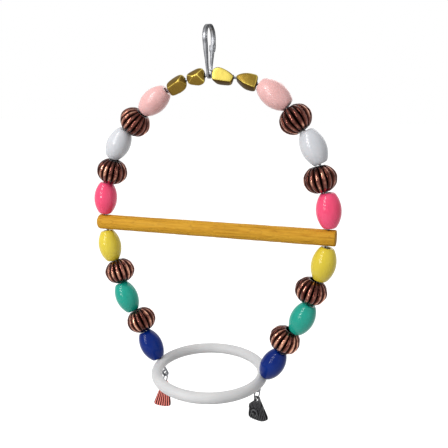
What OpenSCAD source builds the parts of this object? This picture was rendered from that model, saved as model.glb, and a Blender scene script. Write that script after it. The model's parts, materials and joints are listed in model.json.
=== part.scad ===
// Bird swing. A wire hoop strung with beads hangs from a snap hook, with a wooden perch across it
// and a level plastic ring at the foot, and a small shell charm under each end of the wire.
// Millimetres. The origin is the centre of the hook's top bend, where it hangs on a bar.
// X runs along the perch, Y goes to the rear and Z is up.

/* [Hook] */
// From the centre of the top bend down to the hoop wire
hook_drop = 26; // [20:0.5:40]
// Width of the bent steel strip
strip_w = 3.6; // [2.5:0.1:5]
// Thickness of the strip
strip_t = 1; // [0.8:0.1:1.4]
// Radius of the top bend, to the middle of the strip
bend_r = 8.6; // [7:0.1:12]
// Inner radius of the closed eye at the foot
eye_r = 2.4; // [1.8:0.1:3.2]
// How far the nose runs down past the centre of the bend
nose_len = 7; // [6:0.5:9]
// How far below the centre of the bend the gate ends
gate_drop = 4.4; // [4.3:0.1:5]
// Length of the rear leg that stays with the eye, below the gate
root_len = 3; // [2:0.5:5]
// Width of the gate's head
head_w = 4.8; // [4:0.1:6]
// Length of the gate's head
head_len = 5; // [3:0.5:7]

/* [Hoop wire] */
// Length of one side's string of beads that the hoop is drawn for; it grows and shrinks with the string
string_len = 283.6; // [275:0.05:300]
// Diameter of the wire
wire_d = 1.8; // [1.4:0.1:2]
// Right shoulder of the hoop: distance from the middle
right_shoulder_x = 58.5; // [54:0.5:62]
// Right shoulder: distance below the crown
right_shoulder_drop = 22.5; // [19:0.5:26]
// Right shoulder: direction of the wire, in degrees below level
right_shoulder_angle = 48; // [44:1:52]
// Left shoulder of the hoop: distance from the middle
left_shoulder_x = 59; // [55:0.5:63]
// Left shoulder: distance below the crown
left_shoulder_drop = 30.5; // [27:0.5:34]
// Left shoulder: direction of the wire, in degrees below level
left_shoulder_angle = 42; // [38:1:46]
// Side of the hoop, under the perch: distance from the middle
side_x = 88.5; // [84:0.5:94]
// Side of the hoop: distance below the crown
side_drop = 121.5; // [116:0.5:127]
// Side of the hoop: direction of the wire, in degrees below level
side_angle = 97; // [92:1:102]
// Direction of the wire where it enters the ring, in degrees below level
foot_angle = 122; // [118:1:132]
// Radius of the small eye at each end, to the middle of the wire
end_eye_r = 2.1; // [1.9:0.1:3]
// Straight wire between the ring and the end eye
end_run = 4.6; // [2.8:0.1:6]
// How far round the wire turns in the end eye, in degrees
end_eye_turn = 285; // [250:5:300]

/* [Barrel beads] */
// Largest diameter
barrel_d = 18; // [15:0.5:20]
// Length
barrel_len = 25.4; // [24:0.1:26]
// Radius of the rounding towards each end
barrel_round = 6.8; // [6:0.1:7.2]
// Bore
barrel_bore = 4.8; // [4.6:0.1:5]
// How far a loose barrel bead sits outwards of the wire
barrel_slip = 0.6; // [0:0.1:0.7]
// How far the pale pink and the blue beads sit outwards of the wire
end_slip = 0.4; // [0.2:0.1:0.6]

/* [Melon beads] */
// Diameter over the lobes
melon_d = 23.9; // [20:0.5:26]
// Length
melon_len = 18.3; // [17:0.1:19]
// Number of lobes
melon_lobes = 16; // [10:1:18]
// Depth of the flutes between the lobes
flute = 1.9; // [0.8:0.1:2]
// Diameter of the flat end
melon_end = 10.6; // [10.4:0.2:14]
// Bore
melon_bore = 8; // [7.6:0.1:8.1]
// How far the top melon bead sits inwards of the wire
top_melon_slip = 0.8; // [0:0.1:1.5]
// How far the other melon beads sit inwards of the wire
melon_slip = 2.3; // [1:0.1:2.4]

/* [Nugget beads] */
// Length of the right inner nugget
right_inner_len = 17; // [16:0.25:17.5]
// Length of the right outer nugget
right_outer_len = 16.5; // [15.5:0.25:17]
// Length of the left inner nugget
left_inner_len = 14.25; // [13.5:0.25:15]
// Length of the left outer nugget
left_outer_len = 16.75; // [16:0.25:17.25]
// Height of a nugget, across the hoop
nugget_h = 12.5; // [10:0.5:14]
// Depth of a nugget, front to rear
nugget_depth = 11; // [9:0.5:13]
// Radius of a nugget's corners
nugget_round = 2.1; // [1.5:0.1:2.5]
// Bore
nugget_bore = 3.6; // [3.4:0.1:4]

/* [Perch] */
// Diameter of the wooden bar
perch_d = 12; // [10:0.25:13]
// Wood beyond the wire at each end
perch_overhang = 6; // [4:0.5:10]
// Diameter of the drilled holes
perch_hole = 3.2; // [3:0.1:4]
// Bevel on the ends
perch_bevel = 0.6; // [0.3:0.1:1]

/* [Ring] */
// Radius of the ring, to the middle of its section
ring_r = 42.5; // [39:0.5:46]
// Diameter of the ring's round section
ring_t = 8.5; // [7:0.25:9]
// From the crown of the hoop down to the ring
ring_drop = 230; // [227:0.5:233]
// Diameter of the slanted holes
ring_hole = 2.8; // [2.6:0.1:3.4]

/* [Jump rings and charms] */
// Radius of a jump ring, to the middle of its wire
jump_r = 4.2; // [3.6:0.1:5]
// Diameter of the jump ring wire
jump_d = 1; // [0.8:0.1:1.2]
// How far the left jump ring and charm are turned round their hanging line, in degrees
red_turn = 4; // [-30:1:30]
// How far the right jump ring and charm are turned round their hanging line, in degrees
black_turn = -14; // [-30:1:30]
// Length of the left charm below its hole
red_len = 22; // [16:0.5:28]
// Length of the right charm below its hole
black_len = 18.5; // [16:0.5:28]
// Width of the left charm across the bottom
red_w = 15.5; // [12:0.5:20]
// Width of the right charm across the bottom
black_w = 18; // [12:0.5:20]
// Width of a charm at its top
charm_top_w = 5.2; // [4.6:0.2:7]
// Thickness of a charm's plate
charm_t = 1.8; // [1.4:0.1:2.4]
// Height of the ribs above the plate
rib_h = 0.8; // [0.4:0.1:1.2]
// Number of ribs on a charm
charm_ribs = 9; // [5:1:11]
// Hole that the jump ring passes through
charm_hole = 2.6; // [2.4:0.1:2.8]
// Height of the boss on the black charm
boss_h = 2.6; // [1:0.1:4]
// Radius of the boss on the black charm
boss_r = 4.6; // [3:0.1:6]

/* [Fits] */
// Bare wire between one bead and the next, down to the perch and just below it
bead_gap = 1; // [0.9:0.05:1.1]
// Bare wire between the beads below the perch on the left
left_low_gap = 0.6; // [0.5:0.05:0.7]
// Bare wire between the beads below the perch on the right
right_low_gap = 0.85; // [0.6:0.05:0.9]
// Bare wire between the right pale pink bead and the melon bead below it, where the wire bends most
right_bend_gap = 1.3; // [1.2:0.05:1.4]
// Bare wire between the hook and the first nugget on each side
hook_gap = 0.9; // [0.8:0.05:1.2]
// Air kept between neighbouring pieces
fit_gap = 0.3; // [0.2:0.05:0.4]

/* [Hidden] */
$fn = 64;

LEFT = -1;
RIGHT = 1;
wire_r = wire_d / 2;
over = 2 * strip_t;
lap = strip_t / 5;
wire_gap = wire_d / 60;
hair = 1e-6;

// Order of the pieces on each side of the wire, from the crown to the ring
INNER = 0;
OUTER = 1;
PALE = 2;
TOP = 3;
WHITE = 4;
UPPER = 5;
HOT = 6;
PERCH = 7;
YELLOW = 8;
LOWER = 9;
TEAL = 10;
BOTTOM = 11;
BLUE = 12;

function lengths(side) = [
    side < 0 ? left_inner_len : right_inner_len,
    side < 0 ? left_outer_len : right_outer_len,
    barrel_len, melon_len, barrel_len, melon_len, barrel_len,
    perch_d,
    barrel_len, melon_len, barrel_len, melon_len, barrel_len
];

function low_gap(side) = side < 0 ? left_low_gap : right_low_gap;
function gaps(side) = [
    0, bead_gap, bead_gap, side < 0 ? bead_gap : right_bend_gap,
    bead_gap, bead_gap, bead_gap, bead_gap, bead_gap,
    low_gap(side), low_gap(side), low_gap(side), low_gap(side)
];

// How far each piece sits inwards of the wire
slips = [
    0, 0, -end_slip, top_melon_slip, -barrel_slip, melon_slip, -barrel_slip,
    0,
    -barrel_slip, melon_slip, -barrel_slip, melon_slip, -end_slip
];

// Path of the hoop wire, in its own plane as [x, z]
// A run is a list of arcs, each [start, heading, bend per length, length]
function unit(a) = [cos(a), sin(a)];
function left_of(a) = [-sin(a), cos(a)];
function sum(v, n, i = 0) = i >= n ? 0 : v[i] + sum(v, n, i + 1);

// The arc that leaves p with heading a and ends at q
function arc_to(p, a, q) =
    let(v = q - p, k = 2 * (v * left_of(a)) / (v * v), chord = norm(v))
    [p, a, k, abs(k) * chord < hair ? chord : 2 * asin(k * chord / 2) / k * PI / 180];

// Two arcs with one tangent between them, from p with heading a to q with heading b
function two_arcs(p, a, q, b) =
    let(
        v = q - p,
        c = 2 * (1 - unit(a) * unit(b)),
        e = 2 * (v * (unit(a) + unit(b))),
        d = c < hair ? (v * v) / (4 * (v * unit(b))) : (sqrt(e * e + 4 * c * (v * v)) - e) / (2 * c),
        joint = (p + q + d * (unit(a) - unit(b))) / 2,
        first = arc_to(p, a, joint)
    )
    [first, arc_to(joint, a + turned(first), q)];

function turned(w) = w[2] * w[3] * 180 / PI;

// Place and heading at a distance along one arc, and along a run of arcs
function along(w, s) =
    let(turn = w[2] * s * 180 / PI, h = w[1] + turn)
    [abs(turn) < hair ? w[0] + s * unit(h) : w[0] + (left_of(w[1]) - left_of(h)) / w[2], h];
function at(run, s, i = 0) =
    s <= run[i][3] || i == len(run) - 1 ? along(run[i], s) : at(run, s - run[i][3], i + 1);

// How far along the wire a piece starts, and how much larger the hoop is than the one drawn
function start_of(side, i) =
    strip_w / 2 + hook_gap + sum(lengths(side), i) + sum(gaps(side), i + 1);
function string(side) = start_of(side, BLUE) + lengths(side)[BLUE];
stretch = (string(LEFT) + string(RIGHT)) / (2 * string_len);

crown = [0, -hook_drop];
function shoulder(side) = side < 0
    ? crown + stretch * [left_shoulder_x, -left_shoulder_drop]
    : crown + stretch * [right_shoulder_x, -right_shoulder_drop];
function shoulder_angle(side) = side < 0 ? left_shoulder_angle : right_shoulder_angle;
flank = crown + stretch * [side_x, -side_drop];
foot = [ring_r, crown[1] - stretch * ring_drop];
function run_of(side) = concat(
    two_arcs(crown, 0, shoulder(side), -shoulder_angle(side)),
    two_arcs(shoulder(side), -shoulder_angle(side), flank, -side_angle),
    two_arcs(flank, -side_angle, foot, -foot_angle)
);
runs = [run_of(LEFT), run_of(RIGHT)];
function run(side) = runs[side < 0 ? 0 : 1];

// Where a piece sits: [centre, heading], on the chord of the wire inside it
function spot(side, i) =
    let(
        s = start_of(side, i),
        long = lengths(side)[i],
        a = at(run(side), s)[0],
        m = at(run(side), s + long / 2)[0],
        b = at(run(side), s + long)[0],
        h = atan2(b[1] - a[1], b[0] - a[0])
    )
    [(a + b) / 4 + m / 2 - slips[i] * left_of(h), h];

// End of the wire: it leaves the ring, runs straight and turns outwards into the end eye
end_start = foot + (ring_t / 2 + end_run) * unit(-foot_angle);
end_eye = end_start + end_eye_r * left_of(-foot_angle);

// The jump ring rests in the bottom of the end eye, and the charm hangs in the bottom of the jump ring
eye_low = end_eye - [0, end_eye_r];
jump_mid = eye_low + [0, wire_r + fit_gap + jump_d / 2 - jump_r];
jump_low = jump_mid - [0, jump_r];
jump_rise = pow(charm_t / 2 + rib_h, 2) / (2 * jump_r);
charm_mid = jump_low - [0, charm_hole / 2 - jump_d / 2 - fit_gap - jump_rise];

module sided(side) {
    if (side < 0)
        mirror([1, 0, 0]) children();
    else
        children();
}

// Turns a shape drawn in the X-Y plane up into the plane of the hoop
module in_hoop_plane() {
    rotate([90, 0, 0]) children();
}

// Puts a piece on the wire: its own +Z points up the wire and its own +X points outwards
module on_wire(side, i) {
    place = spot(side, i);
    up = place[1] + 180;
    sided(side)
        translate([place[0][0], 0, place[0][1]])
            rotate([0, atan2(cos(up), sin(up)), 0])
                children();
}

// Hook, drawn with X to the rear and Y up, and turned into the plane across the hoop
eye_mid_r = eye_r + strip_t / 2;
eye_centre = [0, -hook_drop + eye_r - wire_r - fit_gap];
leg_lean = asin((bend_r - eye_mid_r) / norm(eye_centre));
gate_tip = [bend_r - strip_t - fit_gap, -gate_drop];
gate_reach = norm(gate_tip - eye_centre);
gate_side = atan2(gate_tip[1] - eye_centre[1], gate_tip[0] - eye_centre[0]) - acos(eye_mid_r / gate_reach);
gate_foot = eye_centre + eye_mid_r * unit(gate_side);
gate_len = norm(gate_tip - gate_foot);
gate_way = (gate_tip - gate_foot) / gate_len;

module across_hoop() {
    rotate([90, 0, 90]) children();
}

module strip_bend(centre, r, from, sweep) {
    translate(centre)
        rotate([0, 0, from])
            rotate_extrude(angle = sweep)
                translate([r - strip_t / 2, -strip_w / 2])
                    square([strip_t, strip_w]);
}

// A straight piece of strip from p to q, lapped a little into the bends at its ends
module strip_bar(p, q, before = lap, after = lap) {
    way = q - p;
    translate(p)
        rotate([0, 0, atan2(way[1], way[0])])
            translate([-before, -strip_t / 2, -strip_w / 2])
                cube([norm(way) + before + after, strip_t, strip_w]);
}

module snap_hook() {
    front = 180 + leg_lean;
    color([0.72, 0.73, 0.75])
        across_hoop() {
            strip_bend([0, 0], bend_r, 0, front);
            strip_bar([bend_r, 0], [bend_r, -nose_len], after = 0);
            strip_bar(bend_r * unit(front), eye_centre + eye_mid_r * unit(front));
            strip_bend(eye_centre, eye_mid_r, front, gate_side + 360 - front);
            strip_bar(gate_foot, gate_foot + root_len * gate_way, after = 0);
        }
}

module hook_gate() {
    low = root_len + fit_gap;
    color([0.66, 0.67, 0.69])
        across_hoop()
            translate(gate_foot)
                rotate([0, 0, gate_side + 90]) {
                    translate([low, -strip_t / 2, -strip_w / 2])
                        cube([gate_len - low, strip_t, strip_w]);
                    translate([gate_len - head_len, -strip_t / 2, -head_w / 2])
                        cube([head_len, strip_t, head_w]);
                }
}

// An arc of the wire, cut a hair short at both ends, where a collar joins it to the next piece
module wire_arc(w) {
    short = abs(w[2]) * wire_gap * 180 / PI;
    sweep = abs(turned(w)) - 2 * short;
    middle = w[0] + left_of(w[1]) / w[2];
    from = w[2] < 0 ? w[1] + 90 - sweep - short : w[1] - 90 + short;
    translate(middle)
        rotate([0, 0, from])
            rotate_extrude(angle = sweep, $fn = 96)
                translate([1 / abs(w[2]), 0])
                    circle(r = wire_r, $fn = 32);
}

module wire_bar(p, q) {
    way = q - p;
    translate(p)
        rotate([0, 90, atan2(way[1], way[0])])
            translate([0, 0, wire_gap])
                cylinder(r = wire_r, h = norm(way) - 2 * wire_gap, $fn = 32);
}

module wire_collar(p, heading) {
    translate(p)
        rotate([0, 90, heading])
            cylinder(r = wire_r + wire_gap, h = 10 * wire_gap, center = true, $fn = 32);
}

module half_hoop(side) {
    sided(side)
        in_hoop_plane() {
            for (w = run(side))
                wire_arc(w);
            for (i = [1:len(run(side)) - 1])
                wire_collar(run(side)[i][0], run(side)[i][1]);
            wire_collar(foot, -foot_angle);
            wire_bar(foot, end_start);
            wire_collar(end_start, -foot_angle);
            wire_arc([end_start, -foot_angle, 1 / end_eye_r, end_eye_r * end_eye_turn * PI / 180]);
        }
}

module hoop_wire() {
    color([0.55, 0.56, 0.58]) {
        in_hoop_plane() wire_collar(crown, 0);
        half_hoop(LEFT);
        half_hoop(RIGHT);
    }
}

// Barrel bead: the flank and the two ends are arcs that meet on one tangent
barrel_reach_share = 0.56;
flank_r = (pow(barrel_round, 2) - pow(barrel_d / 2, 2) - pow(barrel_reach() - barrel_round, 2))
    / (2 * (barrel_round - barrel_d / 2));
function barrel_reach() = barrel_len * barrel_reach_share;

module barrel(tint) {
    reach = barrel_reach();
    middle = barrel_d / 2 - flank_r;
    turn = atan2(reach - barrel_round, -middle);
    meet = flank_r * sin(turn);
    color(tint)
        difference() {
            intersection() {
                union() {
                    rotate_extrude($fn = 96)
                        intersection() {
                            translate([middle, 0]) circle(r = flank_r, $fn = 128);
                            translate([0, -meet]) square([barrel_d, 2 * meet]);
                        }
                    for (end = [-1, 1])
                        translate([0, 0, end * (reach - barrel_round)])
                            sphere(r = barrel_round, $fn = 96);
                }
                cylinder(d = barrel_d + over, h = barrel_len, center = true);
            }
            cylinder(d = barrel_bore, h = barrel_len + over, center = true);
        }
}

// Melon bead: an oval body of rounded lobes, with sharp flutes between them that are shallower at the ends
end_flute_share = 0.2;
lobe_power = 0.6;
melon_rows = 9;
lobe_steps = 4;
melon_copper = [0.55, 0.32, 0.22];

function melon_point(row, step) =
    let(
        last = acos(melon_end / melon_d),
        lift = last * (2 * row / (melon_rows - 1) - 1),
        deep = flute * (end_flute_share + (1 - end_flute_share) * cos(lift)),
        lobe = abs(cos(180 * step / lobe_steps)),
        r = melon_d / 2 * cos(lift) - deep * (1 - pow(lobe, lobe_power)),
        a = 360 * step / (lobe_steps * melon_lobes)
    )
    [r * cos(a), r * sin(a), melon_len / 2 * sin(lift) / sin(last)];

module melon() {
    n = lobe_steps * melon_lobes;
    top = (melon_rows - 1) * n;
    points = [for (row = [0:melon_rows - 1], step = [0:n - 1]) melon_point(row, step)];
    middles = [[0, 0, -melon_len / 2], [0, 0, melon_len / 2]];
    walls = [
        for (row = [0:melon_rows - 2], step = [0:n - 1])
            let(a = row * n + step, b = row * n + (step + 1) % n)
            each [[a, a + n, b + n], [a, b + n, b]]
    ];
    low = [for (step = [0:n - 1]) [top + n, step, (step + 1) % n]];
    high = [for (step = [0:n - 1]) [top + n + 1, top + (step + 1) % n, top + step]];
    color(melon_copper)
        difference() {
            polyhedron(concat(points, middles), concat(walls, low, high), convexity = 4);
            cylinder(d = melon_bore, h = melon_len + over, center = true);
        }
}

// Nugget beads: pebbles with flat faces between round corners
// Each corner is [share along the wire, share outwards, share to the rear]
right_inner_shares = [
    [0.00, 0.62, -0.80], [0.26, 1.00, -0.62], [0.62, 0.66, -0.66], [1.00, -0.12, -0.34],
    [0.92, -0.58, -0.56], [0.02, -0.48, -1.00], [0.22, -1.00, 0.05], [0.88, -0.92, 0.25],
    [0.08, 0.55, 0.85], [0.80, 0.10, 1.00]
];
right_outer_shares = [
    [0.00, 0.12, -0.40], [0.00, -0.28, 0.35], [0.45, 0.85, -0.35], [0.84, 0.90, -0.30],
    [0.95, 0.40, -0.30], [0.76, -0.50, -1.00], [0.62, -1.00, -0.20], [0.95, -0.45, 0.10],
    [0.78, 0.55, 0.80], [0.40, 0.10, 0.85]
];
left_inner_shares = [
    [0.00, 0.62, -0.45], [0.00, -0.58, -0.62], [0.30, 1.00, -0.10], [0.40, 0.10, -1.00],
    [0.42, -1.00, -0.20], [1.00, 0.42, -0.30], [1.00, -0.46, -0.40], [0.10, 0.50, 0.85],
    [0.70, -0.30, 0.90]
];
left_outer_shares = [
    [0.02, 0.70, -0.55], [0.00, -0.20, -0.90], [0.10, -0.86, -0.20], [0.45, -1.00, -0.45],
    [0.30, 1.00, 0.10], [1.00, 0.14, -0.20], [0.78, -0.70, -0.10], [0.10, 0.30, 0.90],
    [0.80, 0.00, 0.80]
];

module nugget(side, i, shares) {
    long = lengths(side)[i] - 2 * nugget_round;
    out = nugget_h / 2 - nugget_round;
    rear = nugget_depth / 2 - nugget_round;
    color([0.72, 0.58, 0.18])
        difference() {
            hull()
                for (s = shares)
                    translate([out * s[1], rear * s[2], long * (1 / 2 - s[0])])
                        sphere(r = nugget_round, $fn = 24);
            cylinder(d = nugget_bore, h = lengths(side)[i] + over, center = true);
        }
}

module left_inner_nugget() {
    on_wire(LEFT, INNER) nugget(LEFT, INNER, left_inner_shares);
}

module left_outer_nugget() {
    on_wire(LEFT, OUTER) nugget(LEFT, OUTER, left_outer_shares);
}

module right_inner_nugget() {
    on_wire(RIGHT, INNER) nugget(RIGHT, INNER, right_inner_shares);
}

module right_outer_nugget() {
    on_wire(RIGHT, OUTER) nugget(RIGHT, OUTER, right_outer_shares);
}

module left_pale_pink_bead() {
    on_wire(LEFT, PALE) barrel([0.89, 0.66, 0.64]);
}

module right_pale_pink_bead() {
    on_wire(RIGHT, PALE) barrel([0.89, 0.66, 0.64]);
}

module left_top_melon() {
    on_wire(LEFT, TOP) melon();
}

module right_top_melon() {
    on_wire(RIGHT, TOP) melon();
}

module left_white_bead() {
    on_wire(LEFT, WHITE) barrel([0.90, 0.90, 0.91]);
}

module right_white_bead() {
    on_wire(RIGHT, WHITE) barrel([0.90, 0.90, 0.91]);
}

module left_upper_melon() {
    on_wire(LEFT, UPPER) melon();
}

module right_upper_melon() {
    on_wire(RIGHT, UPPER) melon();
}

module left_hot_pink_bead() {
    on_wire(LEFT, HOT) barrel([0.93, 0.30, 0.47]);
}

module right_hot_pink_bead() {
    on_wire(RIGHT, HOT) barrel([0.93, 0.30, 0.47]);
}

// Perch: it lies through the two points where the wire crosses it, and is drilled along the wire there
module perch() {
    l = spot(LEFT, PERCH);
    r = spot(RIGHT, PERCH);
    lp = [-l[0][0], l[0][1]];
    way = (r[0] - lp) / norm(r[0] - lp);
    span = norm(r[0] - lp) + 2 * perch_overhang;
    start = lp - perch_overhang * way;
    color([0.80, 0.60, 0.17])
        difference() {
            in_hoop_plane()
                translate(start)
                    rotate([0, 90, atan2(way[1], way[0])]) {
                        cylinder(d1 = perch_d - 2 * perch_bevel, d2 = perch_d, h = perch_bevel);
                        translate([0, 0, perch_bevel])
                            cylinder(d = perch_d, h = span - 2 * perch_bevel);
                        translate([0, 0, span - perch_bevel])
                            cylinder(d1 = perch_d, d2 = perch_d - 2 * perch_bevel, h = perch_bevel);
                    }
            for (side = [LEFT, RIGHT])
                on_wire(side, PERCH)
                    cylinder(d = perch_hole, h = perch_d + 2 * over, center = true);
        }
}

module left_yellow_bead() {
    on_wire(LEFT, YELLOW) barrel([0.84, 0.77, 0.26]);
}

module right_yellow_bead() {
    on_wire(RIGHT, YELLOW) barrel([0.84, 0.77, 0.26]);
}

module left_lower_melon() {
    on_wire(LEFT, LOWER) melon();
}

module right_lower_melon() {
    on_wire(RIGHT, LOWER) melon();
}

module left_teal_bead() {
    on_wire(LEFT, TEAL) barrel([0.14, 0.65, 0.53]);
}

module right_teal_bead() {
    on_wire(RIGHT, TEAL) barrel([0.14, 0.65, 0.53]);
}

module left_bottom_melon() {
    on_wire(LEFT, BOTTOM) melon();
}

module right_bottom_melon() {
    on_wire(RIGHT, BOTTOM) melon();
}

module left_blue_bead() {
    on_wire(LEFT, BLUE) barrel([0.08, 0.20, 0.55]);
}

module right_blue_bead() {
    on_wire(RIGHT, BLUE) barrel([0.08, 0.20, 0.55]);
}

// Ring: round section, with a slanted hole on each side that follows the wire
module ring() {
    color([0.86, 0.86, 0.87])
        difference() {
            translate([0, 0, foot[1]])
                rotate_extrude($fn = 128)
                    translate([ring_r, 0])
                        circle(d = ring_t, $fn = 64);
            for (side = [LEFT, RIGHT])
                sided(side)
                    translate([foot[0], 0, foot[1]])
                        rotate([0, 90 + foot_angle, 0])
                            cylinder(d = ring_hole, h = 2 * ring_t, center = true);
        }
}

function hang_turn(side) = side < 0 ? red_turn : black_turn;

module jump_ring(side) {
    color([0.35, 0.35, 0.36])
        translate([side * jump_mid[0], 0, jump_mid[1]])
            rotate([0, 90, hang_turn(side)])
                rotate_extrude($fn = 64)
                    translate([jump_r, 0])
                        circle(d = jump_d, $fn = 24);
}

module left_jump_ring() {
    jump_ring(LEFT);
}

module right_jump_ring() {
    jump_ring(RIGHT);
}

// Charms: a fan-shaped shell plate, ribbed on the front, that hangs from a hole near its narrow top
// A point is set by its share across the fan, from -1 to 1, and its share down it, from 0 to 1
fan_steps = 4;
fan_rows = 7;

function fan_x(across, down, wide) =
    across * (charm_top_w + (wide - charm_top_w) * pow(down, 0.9)) / 2;
function fan_z(across, down, long) =
    let(top = charm_top_w / 2, drop = (long + top) * down)
    top - drop * (1 - 0.16 * across * across * down);
function rib(across) = abs(cos(90 * across * charm_ribs));
function boss(x, z, long, wide, tall) =
    let(d = norm([x + wide * 0.2, z + long * 0.68]) / boss_r)
    d < 1 ? tall * (1 - d * d) : 0;
function fan_front(across, down, long, wide, tall) =
    let(x = fan_x(across, down, wide), z = fan_z(across, down, long))
    -charm_t / 2
    - rib_h * rib(across) * min(1, 1.6 * down) * (1 - pow(across, 6))
    - boss(x, z, long, wide, tall);

module shell_charm(long, wide, tall, tint) {
    columns = charm_ribs * fan_steps;
    row = columns + 1;
    shares = [for (j = [0:fan_rows], i = [0:columns]) [2 * i / columns - 1, j / fan_rows]];
    front = [
        for (s = shares)
            [fan_x(s[0], s[1], wide), fan_front(s[0], s[1], long, wide, tall), fan_z(s[0], s[1], long)]
    ];
    edge = concat(
        [for (i = [0:columns]) i],
        [for (j = [1:fan_rows]) j * row + columns],
        [for (i = [columns - 1:-1:0]) fan_rows * row + i],
        [for (j = [fan_rows - 1:-1:1]) j * row]
    );
    n = len(edge);
    rim = [for (e = edge) [front[e][0], charm_t / 2, front[e][2]]];
    base = len(front);
    faces = [
        for (j = [0:fan_rows - 1], i = [0:columns - 1])
            let(a = j * row + i, b = a + row)
            each [[a, b + 1, b], [a, a + 1, b + 1]]
    ];
    sides = [
        for (e = [0:n - 1])
            let(f = (e + 1) % n)
            each [[edge[e], base + e, base + f], [edge[e], base + f, edge[f]]]
    ];
    back = [[for (e = [0:n - 1]) base + n - 1 - e]];
    color(tint)
        difference() {
            polyhedron([for (p = concat(front, rim)) p], concat(faces, sides, back), convexity = 6);
            rotate([90, 0, 0])
                cylinder(d = charm_hole, h = 2 * (charm_t + rib_h + boss_h), center = true, $fn = 32);
        }
}

module hung_charm(side) {
    translate([side * charm_mid[0], 0, charm_mid[1]])
        rotate([0, 0, hang_turn(side)])
            children();
}

module red_charm() {
    hung_charm(LEFT) shell_charm(red_len, red_w, 0, [0.76, 0.36, 0.31]);
}

module black_charm() {
    hung_charm(RIGHT) shell_charm(black_len, black_w, boss_h, [0.18, 0.18, 0.18]);
}

snap_hook();
hook_gate();
hoop_wire();
left_inner_nugget();
left_outer_nugget();
right_inner_nugget();
right_outer_nugget();
left_pale_pink_bead();
right_pale_pink_bead();
left_top_melon();
right_top_melon();
left_white_bead();
right_white_bead();
left_upper_melon();
right_upper_melon();
left_hot_pink_bead();
right_hot_pink_bead();
perch();
left_yellow_bead();
right_yellow_bead();
left_lower_melon();
right_lower_melon();
left_teal_bead();
right_teal_bead();
left_bottom_melon();
right_bottom_melon();
left_blue_bead();
right_blue_bead();
ring();
left_jump_ring();
right_jump_ring();
red_charm();
black_charm();
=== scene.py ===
"""Bird swing: the finished look of a beaded hoop that hangs from a snap hook.

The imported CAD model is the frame. Every visible piece is a closed surface worked out with numpy in that
frame, in millimetres, and put into its mesh in metres. Beads take their seats from the frame's joints.
Angles are in degrees unless a name or comment says otherwise.
"""

import json
import logging
import math
from dataclasses import dataclass, field, replace
from enum import Enum
from functools import partial

import bpy
import numpy as np
from bpy.types import ID, Material, Node, NodeSocket as Socket, Object, World
from mathutils import Matrix

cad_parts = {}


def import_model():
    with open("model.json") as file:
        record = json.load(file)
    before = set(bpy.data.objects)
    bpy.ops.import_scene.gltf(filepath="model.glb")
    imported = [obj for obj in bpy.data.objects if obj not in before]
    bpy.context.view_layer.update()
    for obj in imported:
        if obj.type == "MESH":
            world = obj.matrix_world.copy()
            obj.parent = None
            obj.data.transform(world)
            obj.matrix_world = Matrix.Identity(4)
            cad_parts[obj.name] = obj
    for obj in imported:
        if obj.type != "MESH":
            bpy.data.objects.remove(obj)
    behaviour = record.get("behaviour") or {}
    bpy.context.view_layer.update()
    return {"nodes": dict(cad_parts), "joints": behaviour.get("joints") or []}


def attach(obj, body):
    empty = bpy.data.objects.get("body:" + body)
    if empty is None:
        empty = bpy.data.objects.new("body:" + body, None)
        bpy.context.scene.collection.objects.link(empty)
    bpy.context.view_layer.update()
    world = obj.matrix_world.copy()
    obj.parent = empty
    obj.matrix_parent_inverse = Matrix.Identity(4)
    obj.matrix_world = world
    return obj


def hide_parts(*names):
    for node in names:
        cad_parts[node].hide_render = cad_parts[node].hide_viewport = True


MM = 0.001
CREASE = 42.0  # edges sharper than this stay sharp, unless a piece has its own limit
LOG = logging.getLogger("bird_swing")
REAR = np.array([0.0, 1.0, 0.0])
HOOP_PLANE = np.array([[1.0, 0, 0], [0, 0, 1], [0, 1, 0]])
HOOK_PLANE = np.array([[0.0, 1, 0], [0, 0, 1], [1, 0, 0]])

Array = np.ndarray
Triple = tuple[float, float, float]
Profile = tuple[tuple[float, float], ...]
Inputs = dict[str | int, object]
Finishes = dict[str, Material]


class Side(Enum):
    """A side of the hoop as seen from the front, with the sign of its X."""

    LEFT = -1
    RIGHT = 1

    @property
    def word(self) -> str:
        """The side's name in node names."""
        return self.name.lower()


# ---- surfaces


def turn_to(degrees: float | Array) -> Array:
    """Unit vectors in a plane at the given angles from its first axis."""
    a = np.radians(degrees)
    return np.stack([np.cos(a), np.sin(a)], -1)


def circle(count: int, radius: float = 1.0) -> Array:
    """Evenly spaced points of a circle about the origin."""
    return radius * turn_to(np.arange(count) * 360 / count)


def upright(flat: Array) -> Array:
    """Points or directions of the X-Z plane, with their Y of 0 put in."""
    return np.insert(flat, 1, 0.0, axis=-1)


def smooth_step(t: Array) -> Array:
    """0 below 0, 1 above 1, and 3t^2 - 2t^3 between."""
    t = np.clip(t, 0, 1)
    return t * t * (3 - 2 * t)


def off_line(points: Array, centre: Array, way: Array) -> Array:
    """Distances of points from the line through `centre` along the unit vector `way`."""
    v = points - centre
    return np.linalg.norm(v - (v @ way)[..., None] * way, axis=-1)


def lattice_noise(rows: int, cols: int, cells: tuple[int, int], seed: int) -> Array:
    """Soft repeatable noise on a grid, from -1 to 1, that closes on itself round the columns.

    Random values stand on a coarse lattice and are blended by smooth steps along both directions.

    Args:
        rows: samples along the first direction.
        cols: samples round the second, periodic direction.
        cells: lattice cells along each direction.
        seed: the fixed seed of this pattern.
    Returns:
        A rows by cols array.
    """
    knots = np.random.default_rng(seed).uniform(-1, 1, (cells[0] + 2, cells[1]))
    u = np.linspace(0, cells[0], rows)[:, None] + np.zeros((1, cols))
    v = (np.arange(cols) * cells[1] / cols)[None, :] + np.zeros((rows, 1))
    i, j = u.astype(int), v.astype(int)
    fu, fv = smooth_step(u - i), smooth_step(v - j)
    j2 = (j + 1) % cells[1]
    low = knots[i, j] * (1 - fv) + knots[i, j2] * fv
    high = knots[i + 1, j] * (1 - fv) + knots[i + 1, j2] * fv
    return low * (1 - fu) + high * fu


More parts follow.
